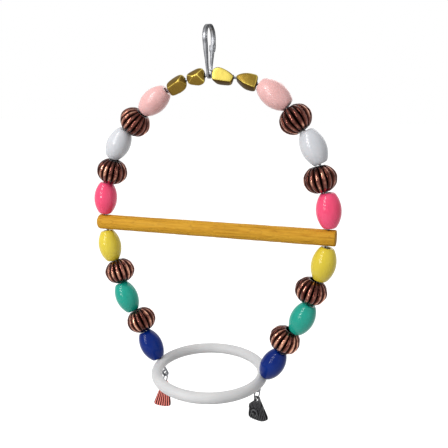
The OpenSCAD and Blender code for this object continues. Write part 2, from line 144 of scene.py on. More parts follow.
def noise_at(x: Array, end: float, rows: int, cols: int, cells: tuple[int, int], seed: int) -> Array:
    """Lattice noise read off at uneven stations along its first direction.

    Args:
        x: the stations, from 0 to `end`.
        end: the station of the noise's last row.
        rows, cols, cells, seed: the noise, as in lattice_noise.
    Returns:
        A stations by cols array.
    """
    lines = lattice_noise(rows, cols, cells, seed).T
    return np.stack([np.interp(x, np.linspace(0, end, rows), line) for line in lines], 1)


@dataclass(frozen=True)
class Skin:
    """A closed surface on a grid of points, in mm, and how dark each point is marked, from 0 to 1: patina, wood
    marks or painted light and shade.

    Columns always close on themselves. Rows close too when `loop` is set, as on a bead with a bore,
    and otherwise each end is closed by a fan on its own middle point, as on a rod.
    """

    points: Array
    hollow: Array
    loop: bool = True

    def shell(self) -> tuple[Array, list[list[int]], Array]:
        """Joins each point to its neighbours in the next row and column.

        Returns:
            Vertices, faces that point outwards and the vertices' marks.
        """
        rows, cols = self.points.shape[:2]
        vertices, hollow = self.points.reshape(-1, 3), self.hollow.reshape(-1)
        a, b = np.meshgrid(np.arange(rows if self.loop else rows - 1), np.arange(cols), indexing="ij")
        a2, b2 = (a + 1) % rows, (b + 1) % cols
        quads = np.stack([a * cols + b, a * cols + b2, a2 * cols + b2, a2 * cols + b], -1).reshape(-1, 4)
        faces = quads.tolist()
        if not self.loop:
            vertices = np.vstack([vertices, self.points[0].mean(0), self.points[-1].mean(0)])
            hollow = np.r_[hollow, hollow[:cols].mean(), hollow[-cols:].mean()]
            c, last, middle = np.arange(cols), (rows - 1) * cols, np.full(cols, rows * cols)
            faces += np.stack([middle, (c + 1) % cols, c], -1).tolist()
            faces += np.stack([middle + 1, last + c, last + (c + 1) % cols], -1).tolist()
        p0, p1, p2, p3 = (vertices[quads[:, i]] for i in range(4))
        if np.einsum("ij,ij->", p0, np.cross(p1, p2) + np.cross(p2, p3)) < 0:
            faces = [face[::-1] for face in faces]
        return vertices, faces, hollow

    def drilled(self, normal: Array, line: tuple[Array, Array], radius: float, soft: float,
                depth: float) -> "Skin":
        """Sinks a well round a line and paints shade in it, with a smooth step from `soft` inside its radius to
        0.1 outside.

        Args:
            normal: the directions out of the surface.
            line: a point on the line and its direction.
            radius: the well's radius.
            soft: how far its edge reaches in.
            depth: how deep it is.
        Returns:
            The drilled skin.
        """
        well = 1 - smooth_step((off_line(self.points, *line) - radius + soft) / (soft + 0.1))
        points = self.points - (depth * well)[..., None] * normal
        # The well's mark is painted shade in the hole.
        return replace(self, points=points, hollow=np.maximum(self.hollow, well))


# ---- finishes


def plain(colour: Triple, share: float = 1.0) -> Triple:
    """A screen colour, from 0 to 255, in the linear values that a shader takes, times a share."""
    c = np.array(colour) / 255
    return tuple(float(x) * share for x in np.where(c <= 0.04045, c / 12.92, ((c + 0.055) / 1.055) ** 2.4))


class Tree:
    """The node tree of a material or a world while it is being wired."""

    def __init__(self, owner: Material | World) -> None:
        """Starts an empty tree.

        Args:
            owner: the material or world that it belongs to.
        """
        owner.use_nodes = True
        self.tree = owner.node_tree
        self.tree.nodes.clear()

    def feed(self, node: Node, inputs: Inputs) -> None:
        """Links or sets a node's inputs.

        Args:
            node: the node.
            inputs: for each input, by name or number, another node's output or a value.
        """
        for key, value in inputs.items():
            if isinstance(value, Socket):
                self.tree.links.new(value, node.inputs[key])
            else:
                node.inputs[key].default_value = value

    def add(self, kind: str, inputs: Inputs | None = None, **settings: object) -> Node:
        """Adds a node.

        Args:
            kind: its type.
            inputs: what feeds it.
            settings: its properties.
        Returns:
            The node.
        """
        node = self.tree.nodes.new(kind)
        for key, value in settings.items():
            setattr(node, key, value)
        self.feed(node, inputs or {})
        return node

    def reckon(self, operation: str, a: Socket, b: Socket | float, clamp: bool = False) -> Socket:
        """The result of an operation on two values."""
        return self.add("ShaderNodeMath", {0: a, 1: b}, operation=operation, use_clamp=clamp).outputs[0]

    def span(self, value: Socket, low: Socket | float, high: float, start: float = 0,
             end: float = 1) -> Socket:
        """Maps a value from start..end to low..high."""
        inputs = {"Value": value, "From Min": start, "From Max": end, "To Min": low, "To Max": high}
        return self.add("ShaderNodeMapRange", inputs).outputs["Result"]

    def seen(self) -> Socket:
        """Tells the rays that see a surface from those that light the object.

        Returns:
            1 for camera, glossy and transmission rays, and 0 for the others.
        """
        path = self.add("ShaderNodeLightPath").outputs
        either = self.reckon("MAXIMUM", path["Is Camera Ray"], path["Is Glossy Ray"])
        return self.reckon("MAXIMUM", either, path["Is Transmission Ray"])


class Board(Tree):
    """A new material's tree, with a Principled shader."""

    def __init__(self, name: str) -> None:
        """Starts with the shader and the output.

        Args:
            name: the material's name.
        """
        self.material = bpy.data.materials.new(name)
        super().__init__(self.material)
        self.shader = self.add("ShaderNodeBsdfPrincipled")
        self.add("ShaderNodeOutputMaterial", {"Surface": self.shader.outputs["BSDF"]})

    def set(self, **inputs: object) -> None:
        """Feeds the shader's own inputs, with _ for the spaces in their names."""
        self.feed(self.shader, {key.replace("_", " "): value for key, value in inputs.items()})

    def place(self, scale: Triple = (1, 1, 1)) -> Socket:
        """Object coordinates, stretched by `scale`."""
        spot = self.add("ShaderNodeTexCoord").outputs["Object"]
        return self.add("ShaderNodeMapping", {"Vector": spot, "Scale": scale}).outputs["Vector"]

    def noise(self, place: Socket, scale: float, detail: float, rough: float) -> Socket:
        """Noise at `scale` repeats a metre, from 0 to 1."""
        inputs = {"Vector": place, "Scale": scale, "Detail": detail, "Roughness": rough}
        return self.add("ShaderNodeTexNoise", inputs).outputs["Fac"]

    def ramp(self, value: Socket, *stops: tuple) -> Socket:
        """Colours along a value.

        Args:
            value: the place along the ramp.
            stops: each a place, a screen colour and, on some, a share of its brightness.
        Returns:
            The colour.
        """
        node = self.add("ShaderNodeValToRGB", {"Fac": value})
        band = node.color_ramp.elements
        while len(band) < len(stops):
            band.new(0.5)
        for element, (at, *colour) in zip(band, stops):
            element.position = at
            element.color = (*plain(*colour), 1)
        return node.outputs["Color"]

    def mark(self) -> Socket:
        """How dark the mesh is marked here: patina, wood marks, or painted light and shade."""
        return self.add("ShaderNodeAttribute", attribute_name="hollow").outputs["Fac"]

    def blend(self, share: Socket, a: Socket, b: Socket) -> Socket:
        """Mixes two colours by a share."""
        return self.add("ShaderNodeMix", {0: share, 6: a, 7: b}, data_type="RGBA").outputs[2]

    def bump(self, height: Socket, depth: float, strength: float) -> None:
        """Raises the surface by `depth` metres where the height is 1."""
        inputs = {"Strength": strength, "Distance": depth, "Height": height}
        self.set(Normal=self.add("ShaderNodeBump", inputs).outputs["Normal"])


@dataclass(frozen=True)
class MouldedGloss:
    """Glossy moulded plastic: nearly even colour with faint clouds, and a few soft handling marks."""

    name: str
    light: Triple
    deep: Triple
    roughness: float
    shine: float
    under: float = 0.0

    def build(self) -> Material:
        """Wires the material.

        Returns:
            The material.
        """
        board = Board(self.name)
        place = board.place()
        cloud, rub = board.noise(place, 55, 4, 0.55), board.noise(place, 420, 3, 0.6)
        board.set(Base_Color=board.ramp(cloud, (0.3, self.deep), (0.7, self.light)),
                  Roughness=board.span(rub, self.roughness * 0.7, self.roughness * 1.5, 0.3, 0.75),
                  IOR=1.49, Specular_IOR_Level=self.shine)
        board.bump(board.noise(place, 160, 2, 0.4), 0.00008, 0.5)
        if self.under:
            board.set(Subsurface_Weight=self.under, Subsurface_Scale=1.0,
                      Subsurface_Radius=(0.004, 0.002, 0.0015))
        return board.material


@dataclass(frozen=True)
class PlatedMetal:
    """Plated metal that is darker where the mesh is marked, from 0 to 1: patina in the melons' flutes, and
    painted light and shade on the melons' lobes, the nuggets' faces and the charms' grooves.
    """

    name: str
    bright: Triple
    middle: Triple
    dark: Triple
    roughness: float
    dents: float
    dent_depth: float
    uneven: float
    clouds: float = 260.0
    metallic: float = 1.0

    def build(self) -> Material:
        """Wires the material.

        Returns:
            The material.
        """
        board = Board(self.name)
        place = board.place()
        patch = board.noise(place, self.clouds, 4, 0.6)
        shift = board.span(patch, self.uneven, -self.uneven, 0.3, 0.7)
        depth = board.reckon("ADD", board.mark(), shift, True)
        tones = (0.04, self.bright), (0.32, self.middle), (0.75, self.dark), (1.0, self.dark, 0.6)
        board.set(Base_Color=board.ramp(depth, *tones), Metallic=self.metallic,
                  Roughness=board.span(patch, self.roughness * 0.7, self.roughness * 1.6, 0.3, 0.7))
        board.bump(board.noise(place, self.dents, 2, 0.5), self.dent_depth, 0.7)
        return board.material


@dataclass(frozen=True)
class DrawnSteel:
    """Steel strip or wire with fine lines along its length and a few dull patches."""

    name: str
    bright: Triple
    dull: Triple
    dark: Triple
    roughness: float
    lines: Triple = (900, 900, 60)

    def build(self) -> Material:
        """Wires the material.

        Returns:
            The material.
        """
        board = Board(self.name)
        lines = board.noise(board.place(self.lines), 1.0, 4, 0.6)
        patch = board.noise(board.place(), 190, 4, 0.6)
        face = board.ramp(patch, (0.3, self.dull), (0.66, self.bright))
        edge = board.ramp(patch, (0.3, self.dark, 0.7), (0.7, self.dark))
        # The mark blends each point from the face tone to the dark tone: on the hook this paints shade on the
        # edges and in a band, and leaves a painted highlight line.
        board.set(Base_Color=board.blend(board.mark(), face, edge), Metallic=1.0,
                  Roughness=board.span(lines, self.roughness * 0.6, self.roughness * 1.7, 0.3, 0.7))
        board.bump(lines, 0.00003, 0.5)
        return board.material


@dataclass(frozen=True)
class StainedWood:
    """Roughly turned, yellow-stained wood: broken grain along X, darker in the cracks and at the ends."""

    name: str
    light: Triple
    middle: Triple
    dark: Triple

    def build(self) -> Material:
        """Wires the material.

        Returns:
            The material.
        """
        board = Board(self.name)
        fibre = board.noise(board.place((34, 900, 900)), 1.0, 6, 0.65)
        streak = board.noise(board.place((70, 420, 420)), 1.0, 4, 0.55)
        tone = board.ramp(streak, (0.28, self.middle), (0.5, self.light), (0.74, self.middle))
        lines = board.ramp(fibre, (0.3, self.dark), (0.46, self.middle), (0.56, self.light))
        base = board.blend(board.span(fibre, 0.75, 0.15, 0.3, 0.6), tone, lines)
        dark = board.ramp(fibre, (0, self.dark, 0.55), (1, self.dark))
        board.set(Base_Color=board.blend(board.mark(), base, dark), Specular_IOR_Level=0.12,
                  Roughness=board.span(fibre, 0.75, 0.48, 0.3, 0.7))
        board.bump(fibre, 0.00025, 0.7)
        return board.material


# Each finish has the name of its slot in the record, and its colours as they show on screen.
RECIPES = (
    # bright_steel's dark tone is painted shade on the hook's edges and band.
    DrawnSteel("bright_steel", (160, 161, 164), (104, 105, 108), (40, 41, 44), 0.38, (40, 400, 40)),
    DrawnSteel("wire_steel", (140, 141, 145), (78, 79, 84), (40, 40, 42), 0.3),
    DrawnSteel("dark_steel", (105, 106, 108), (48, 48, 50), (30, 30, 31), 0.34),
    # gold's bright tone is the nuggets' painted reflection on a front face and their painted ridge highlights;
    # middle and dark are painted facet shade.
    PlatedMetal("gold", (194, 176, 84), (122, 97, 31), (72, 52, 12), roughness=0.42, dents=260.0,
                dent_depth=0.00002, uneven=0.04, clouds=90.0, metallic=0.85),
    # antique_copper's bright tone is partly a painted highlight on the melons' crests; middle and dark are the
    # copper and its patina.
    PlatedMetal("antique_copper", (198, 146, 121), (110, 67, 58), (60, 31, 26), roughness=0.1, dents=420.0,
                dent_depth=0.00035, uneven=0.24),
    # copper_red's and gunmetal's dark tones are painted shade in the charms' grooves and along the boss's coil.
    PlatedMetal("copper_red", (236, 142, 130), (200, 92, 82), (80, 8, 6), roughness=0.34, dents=900.0,
                dent_depth=0.00006, uneven=0.06, metallic=0.6),
    PlatedMetal("gunmetal", (86, 86, 88), (40, 40, 42), (12, 12, 13), roughness=0.28, dents=600.0,
                dent_depth=0.00014, uneven=0.12, metallic=0.85),
    MouldedGloss("pale_pink", (225, 179, 177), (212, 160, 157), 0.24, 0.4, 0.06),
    MouldedGloss("white", (199, 200, 204), (189, 191, 196), 0.2, 0.4, 0.05),
    MouldedGloss("hot_pink", (234, 80, 120), (228, 62, 102), 0.15, 0.26),
    MouldedGloss("yellow", (214, 193, 64), (204, 181, 48), 0.15, 0.24),
    MouldedGloss("teal", (26, 157, 138), (16, 144, 125), 0.15, 0.26),
    MouldedGloss("blue", (0, 38, 118), (0, 24, 98), 0.13, 0.14),
    MouldedGloss("white_plastic", (200, 200, 200), (192, 192, 193), 0.4, 0.2, 0.05),
    StainedWood("wood", (199, 149, 44), (184, 130, 32), (130, 85, 19)),
)


# ---- pieces


def add_object(name: str, data: ID) -> Object:
    """Links a new object to the scene.

    Args:
        name: its name.
        data: its mesh, lamp or camera.
    Returns:
        The object.
    """
    thing = bpy.data.objects.new(name, data)
    bpy.context.scene.collection.objects.link(thing)
    return thing


def show_piece(node: str, body: str, slot: str, skin: Skin, finishes: Finishes,
               crease: float = CREASE) -> None:
    """Makes one visible piece at the origin, in metres, smooth but for its creases, and lets it ride.

    Args:
        node: the CAD node that it replaces.
        body: the body that it rides on.
        slot: its material slot.
        skin: its surface, in mm in the row frame.
        finishes: the materials by slot.
        crease: edges sharper than this stay sharp.
    """
    vertices, faces, hollow = skin.shell()
    mesh = bpy.data.meshes.new(f"{node}_shown")
    mesh.from_pydata((vertices * MM).tolist(), [], faces)
    layer = mesh.attributes.new("hollow", "FLOAT", "POINT")
    layer.data.foreach_set("value", hollow.astype(np.float32))
    mesh.polygons.foreach_set("use_smooth", np.ones(len(faces), bool))
    mesh.set_sharp_from_angle(angle=math.radians(crease))
    mesh.materials.append(finishes[slot])
    mesh.update()
    piece = add_object(mesh.name, mesh)
    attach(piece, body)
    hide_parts(node)
    LOG.info("%s rides on %s, %d faces", piece.name, body, len(faces))


# ---- beads


# A bead's lip in steps: the share of the way from the rim to the bore wall, and how deep in, in mm.
LIP = ((0.5, 0.0), (0.85, 0.0), (1.0, 0.25), (1.0, 1.2))


def seat_bead(skin: Skin, joint: dict, side: Side) -> Skin:
    """Moves a bead to its spin joint: its Z runs up the wire, its X out of the hoop and its Y to the rear.

    Args:
        skin: the bead in its own frame.
        joint: its joint.
        side: its side of the hoop.
    Returns:
        The bead in the row frame.
    """
    up = np.array(joint["axis"], float)
    out = np.array([side.value * up[2], 0.0, -side.value * up[0]])
    seat = np.array(joint["pos_m"], float) / MM
    return replace(skin, points=seat + skin.points @ np.stack([out, REAR, up]))


def bead_skin(outer: Array, bore: float, hollow: Array) -> Skin:
    """Closes a bead's outer grid through its bore.

    The outer grid runs from the low rim to the high rim. Then a short lip turns in to the bore on each
    face, and the bore wall joins the two lips.

    Args:
        outer: rows by columns by 3, in the bead's own frame.
        bore: the bore's diameter.
        hollow: the outer grid's mark.
    Returns:
        The closed skin in the bead's own frame.
    """
    wall = upright(circle(outer.shape[1], bore / 2))[:, [0, 2, 1]]
    inner = []
    for rim, sign in ((outer[-1], 1), (outer[0], -1)):
        face = wall + [0, 0, rim[:, 2:3].mean()]
        lip = [rim * (1 - s) + face * s - [0, 0, sign * depth] for s, depth in LIP]
        inner += lip[::sign]
    # The lips and the bore wall take the darkest mark: painted shade inside the bore.
    marks = np.vstack([hollow, np.ones((len(inner), outer.shape[1]))])
    return Skin(np.concatenate([outer, np.stack(inner)]), marks)


@dataclass(frozen=True)
class BarrelBead:
    """Moulded barrel bead: one flank arc and two end arcs that meet on a tangent, cut flat at the ends."""

    diameter: float = 18.0
    length: float = 25.4
    rounding: float = 6.8
    reach_share: float = 0.56
    end_cut: float = 0.12
    bore: float = 4.8
    rows: int = 57
    cols: int = 72

    def skin(self) -> Skin:
        """Turns the profile: r = flank circle near the middle and r = end circle past the tangent point.

        Returns:
            The closed skin.
        """
        half = self.diameter / 2
        offset = self.length * self.reach_share - self.rounding
        flank = (self.rounding**2 - half**2 - offset**2) / (2 * (self.rounding - half))
        meet = flank * math.sin(math.atan2(offset, flank - half))
        t = np.linspace(-1, 1, self.rows)
        z = self.length / 2 * np.sign(t) * np.abs(t) ** 0.9
        side = np.sqrt(np.maximum(flank**2 - z**2, 0)) + half - flank
        end = np.sqrt(np.maximum(self.rounding**2 - (np.abs(z) - offset) ** 2, 0))
        r = np.where(np.abs(z) < meet, side, end)
        z[[0, -1]] -= self.end_cut * t[[0, -1]]
        grid = np.ones((self.rows, self.cols, 1))
        outer = np.concatenate([r[:, None, None] * circle(self.cols), z[:, None, None] * grid], 2)
        return bead_skin(outer, self.bore, np.zeros((self.rows, self.cols)))


@dataclass(frozen=True)
class MelonBead:
    """Fluted melon bead: rounded lobes round an oval body, with deep narrow flutes between them."""

    diameter: float = 23.9
    length: float = 18.3
    lobes: int = 16
    flute: float = 1.9
    end: float = 10.6
    bore: float = 8.0
    rows: int = 49
    lobe_cols: int = 12

    def skin(self, seed: int) -> Skin:
        """Lobed oval: z = reach sin p, and r = (d/2) cos p less a flute of 1 - |cos|^0.6 across each lobe.

        Args:
            seed: the fixed seed of this bead's uneven shape, wear and sheen.
        Returns:
            The closed skin.
        """
        cols = self.lobes * self.lobe_cols
        noise = partial(lattice_noise, self.rows, cols)
        last = math.acos(self.end / self.diameter)
        p = np.linspace(-last, last, self.rows)[:, None]
        a = np.arange(cols)[None] * 2 * math.pi / cols
        lobe = np.abs(np.cos(a * self.lobes / 2))
        uneven = 1 + 0.012 * noise((5, self.lobes), seed) + 0.008 * noise((12, self.lobes * 2), seed + 3)
        r = self.diameter / 2 * np.cos(p) * uneven - self.flute * (0.2 + 0.8 * np.cos(p)) * (1 - lobe**0.6)
        z = self.length / 2 * np.sin(p) / math.sin(last) + 0 * a
        outer = np.stack([r * np.cos(a), r * np.sin(a), z], -1)
        wear_and_sheen = 0.16 * noise((6, self.lobes * 2), seed + 9) + 0.2 * noise((2, self.lobes), seed + 5)
        # Partly the patina in the flutes and partly painted light: only the narrow crests stay light, a painted
        # highlight, with painted shade down the flanks; darker towards the ends; random wear and sheen lift
        # some crests to the bright tone.
        hollow = 0.27 + 2.5 * (1 - lobe) ** 1.6 + 0.25 * (1 - np.cos(p)) + wear_and_sheen
        return bead_skin(outer, self.bore, np.clip(hollow, 0, 1))


@dataclass(frozen=True)
class NuggetBead:
    """Metal nugget: flat faces between round corners.

    The corners are hundredths of the nugget's length, height and depth. Their hull gives the faces, each
    moved out by the corner radius, and the surface is the smooth minimum of the faces' distances.
    `front` is the painted shade of its front faces; at 0 they keep the bright tone, a painted reflection.
    """

    length: float
    front: float
    corners: tuple[Triple, ...]
    height: float = 12.5
    depth: float = 11.0
    rounding: float = 2.1
    bore: float = 3.6
    end_over: float = 0.3
    rim_in: float = 0.8
    fullness: float = 1.04
    power: int = 7
    edge_power: int = 40
    rows: int = 61
    cols: int = 96

    def faces(self) -> tuple[Array, Array]:
        """The hull's faces, from every three corners that have all others behind them.

        Returns:
            Unit normals and distances from the middle.
        """
        along, up, back = np.array(self.corners).T / 100
        r, tiny = self.rounding, 1e-6
        points = np.stack([(self.height / 2 - r) * up, (self.depth / 2 - r) * back,
                           (self.length - 2 * r) * (0.5 - along)], -1)
        i, j, k = (x.reshape(-1) for x in np.meshgrid(*[np.arange(len(points))] * 3, indexing="ij"))
        i, j, k = (x[(i < j) & (j < k)] for x in (i, j, k))
        normal = np.cross(points[j] - points[i], points[k] - points[i])
        size = np.linalg.norm(normal, axis=1)
        real = size > tiny
        normal = normal[real] / size[real, None]
        normal = np.vstack([normal, -normal])
        reach = np.einsum("ij,ij->i", normal, points[np.r_[i[real], i[real]]])
        outer = (normal @ points.T).max(1) <= reach + tiny
        half = self.length / 2 + self.end_over
        planes = np.vstack([np.c_[normal, reach + r][outer], [0, 0, 1, half], [0, 0, -1, half]])
        planes = np.unique(np.round(planes, 4), axis=0)
        return planes[:, :3], planes[:, 3]

    def tone(self, normal: Array) -> Array:
        """Painted light and shade of each face: `front` on a face to the front, and less on the others the more
        they look out, so faces turned out are painted lighter.
        """
        return np.where(-normal[:, 1] > 0.8, self.front, np.clip(0.62 - 0.25 * normal[:, 0], 0, 1))

    def skin(self, seed: int) -> Skin:
        """Radius along each direction: the power mean's smooth minimum of the faces' distances, times fullness.

        Each face has its painted shade, and the ridges, where two or more faces share a point, get a painted
        highlight.

        Args:
            seed: the fixed seed of this nugget's dents.
        Returns:
            The closed skin.
        """
        normal, reach = self.faces()
        first = math.atan2(self.bore / 2, self.length / 2 - self.rim_in)
        p = np.linspace(math.pi - first, first, self.rows)[:, None]
        a = np.arange(self.cols)[None] * 2 * math.pi / self.cols
        way = np.stack([np.sin(p) * np.cos(a), np.sin(p) * np.sin(a), np.cos(p) + 0 * a], -1)
        near = np.maximum(way @ normal.T, 0) / reach
        r = self.fullness * (near**self.power).sum(-1) ** (-1 / self.power)
        r = r * (1 + 0.008 * lattice_noise(self.rows, self.cols, (5, 6), seed))
        share = near**self.edge_power
        share = share / share.sum(-1, keepdims=True)
        painted_ridge_highlight = smooth_step((1 - np.linalg.norm(share @ normal, axis=-1) - 0.01) / 0.05)
        # Painted facet shade from each face's facing, less a painted highlight on the ridges.
        hollow = np.clip(share @ self.tone(normal) - 0.4 * painted_ridge_highlight, 0, 1)
        return bead_skin(way * r[..., None], self.bore, hollow)


# ---- wire, hook, perch, ring and charms


@dataclass
class Trail:
    """A line in a plane, built from straight runs and bends, with its heading at each point."""

    points: list[Array] = field(default_factory=list)
    headings: list[Array] = field(default_factory=list)

    def straight(self, start: Array, end: Array, count: int) -> "Trail":
        """Adds a straight run.

        Args:
            start: where it starts.
            end: where it ends.
            count: how many points it has, with both ends.
        Returns:
            The trail.
        """
        way = end - start
        self.points.append(start + way * np.linspace(0, 1, count)[:, None])
        self.headings.append(np.full(count, math.degrees(math.atan2(way[1], way[0]))))
        return self

    def bend(self, start: Array, heading: float, radius: float, sweep: float, step: float) -> "Trail":
        """Adds an arc, whose points stand a radius from its middle.

        Args:
            start: where it starts.
            heading: the heading there.
            radius: its radius.
            sweep: the angle that it turns through, to the left where positive.
            step: the angle from point to point.
        Returns:
            The trail.
        """
        turn = np.linspace(0, sweep, max(4, int(abs(sweep) / step) + 2))
        sign = math.copysign(1.0, sweep)
        middle = start + sign * radius * turn_to(heading + 90)
        self.points.append(middle - sign * radius * turn_to(heading + turn + 90))
        self.headings.append(heading + turn)
        return self

    @property
    def end(self) -> tuple[Array, float]:
        """The last point and heading."""
        return self.points[-1][-1], float(self.headings[-1][-1])

    def line(self) -> tuple[Array, Array]:
        """Joins the runs and leaves out doubled points.

        Returns:
            All points and their headings.
        """
        p, h = np.vstack(self.points), np.concatenate(self.headings)
        keep = np.r_[True, np.linalg.norm(np.diff(p, axis=0), axis=1) > 1e-4]
        return p[keep], h[keep]


@dataclass(frozen=True)
class HoopPath:
    """The hoop wire's line in its own X-Z plane: pairs of arcs through a shoulder, a flank and the ring's hole.

    Each of these spots is an X, a drop below the crown and the angle at which the wire falls there.
    """

    hook_drop: float = 26.0
    right_shoulder: Triple = (58.5, 22.5, 48.0)
    left_shoulder: Triple = (59.0, 30.5, 42.0)
    flank: Triple = (88.5, 121.5, 97.0)
    foot: Triple = (42.5, 230.0, 122.0)
    ring_half: float = 4.25
    end_run: float = 4.6
    end_eye: float = 2.1
    end_turn: float = 285.0
    wire: float = 1.8

    @staticmethod
    def arc_between(p: Array, heading: float, q: Array) -> tuple[float, float]:
        """The arc that leaves p on a heading and ends at q: its bend is twice the sideways share of q - p.

        Args:
            p: the start.
            heading: the heading there.
            q: the end.
        Returns:
            Radius and signed sweep.
        """
        v = q - p
        bend = 2 * float(v @ turn_to(heading + 90)) / float(v @ v)
        sweep = math.degrees(2 * math.asin(bend * float(np.linalg.norm(v)) / 2))
        return 1 / abs(bend), sweep

    def side_trail(self, side: Side) -> Trail:
        """One side, written as if on the right: each pair of arcs shares the tangent where they meet.

        Args:
            side: the side.
        Returns:
            Its trail, from the crown to the eye at the wire's end.
        """
        shoulder = self.left_shoulder if side is Side.LEFT else self.right_shoulder
        trail = Trail()
        p, a = np.array([0.0, -self.hook_drop]), 0.0
        for x, drop, fall in (shoulder, self.flank, self.foot):
            q = np.array([x, -self.hook_drop - drop])
            v, s, t = q - p, turn_to(a), turn_to(-fall)
            c, e = 2 * (1 - s @ t), 2 * (v @ (s + t))
            d = (math.sqrt(e * e + 4 * c * (v @ v)) - e) / (2 * c)
            for target in ((p + q + d * (s - t)) / 2, q):
                radius, sweep = self.arc_between(p, a, target)
                trail.bend(p, a, radius, sweep, 1.2)
                p, a = trail.end
        low = p + (self.ring_half + self.end_run) * turn_to(a)
        return trail.straight(p, low, 10).bend(low, a, self.end_eye, self.end_turn, 9.0)

    def whole(self) -> tuple[Array, Array]:
        """Joins both sides at the crown, with the left side mirrored.

        Returns:
            Points and headings from the left end eye to the right one.
        """
        left, left_heading = self.side_trail(Side.LEFT).line()
        right, heading = self.side_trail(Side.RIGHT).line()
        return np.vstack([(left * [-1, 1])[::-1], right[1:]]), np.r_[-left_heading[::-1], heading[1:]]


# A swept piece's ends: how far the last section stands out, in mm, and its share of the whole.
END_OUT, END_SHARE = 0.12, 0.75


def sweep_section(line: Array, heading: Array, section: Array, plane: Array,
                  edge: Array | float = 0.0, thin: Array | float = 1.0) -> Skin:
    """Carries a section along a line in a plane and rounds its two ends a little.

    Args:
        line: points in the plane, n by 2.
        heading: the heading at each point.
        section: the section's points, m by 2: across the line in the plane, and square to the plane.
        plane: the plane's first, second and third direction, 3 by 3.
        edge: the mark of each of the section's points, from 0 to 1; the hook's gives painted shade on its edges
            and in a band, and a painted highlight line.
        thin: the section's thickness at each point of the line, as a share of the whole.
    Returns:
        The closed skin.
    """
    across, along = turn_to(heading + 90), turn_to(heading)
    line = np.vstack([line[:1] - END_OUT * along[:1], line, line[-1:] + END_OUT * along[-1:]])
    across = np.vstack([across[:1], across, across[-1:]])
    size = np.r_[END_SHARE, np.ones(len(heading)), END_SHARE]
    thick = size * np.pad(np.ones(len(heading)) * thin, 1, "edge")
    flat = line[:, None] + thick[:, None, None] * across[:, None] * section[None, :, :1]
    rise = size[:, None] * section[None, :, 1]
    hollow = np.zeros(rise.shape) + np.clip(edge, 0, 1)
    return Skin(np.concatenate([flat, rise[..., None]], 2) @ plane, hollow, False)


def strip_section(thick: float, wide: float, rounding: float) -> Array:
    """A flat strip's section with rounded edges: quarter circles round the four corners.

    Args:
        thick: the strip's thickness.
        wide: its width.
        rounding: its corner radius.
    Returns:
        The section's points, m by 2.
    """
    corners = []
    for k, (sx, sy) in enumerate(((1, 1), (-1, 1), (-1, -1), (1, -1))):
        middle = np.array([sx * (thick / 2 - rounding), sy * (wide / 2 - rounding)])
        corners.append(middle + rounding * turn_to(90 * k + np.linspace(0, 90, 5)))
    for k in (3, 1):
        start, end = corners[k][-1], corners[(k + 1) % 4][0]
        corners[k] = np.vstack([corners[k], start + (end - start) * np.linspace(0, 1, 16)[1:-1, None]])
    return np.vstack(corners)


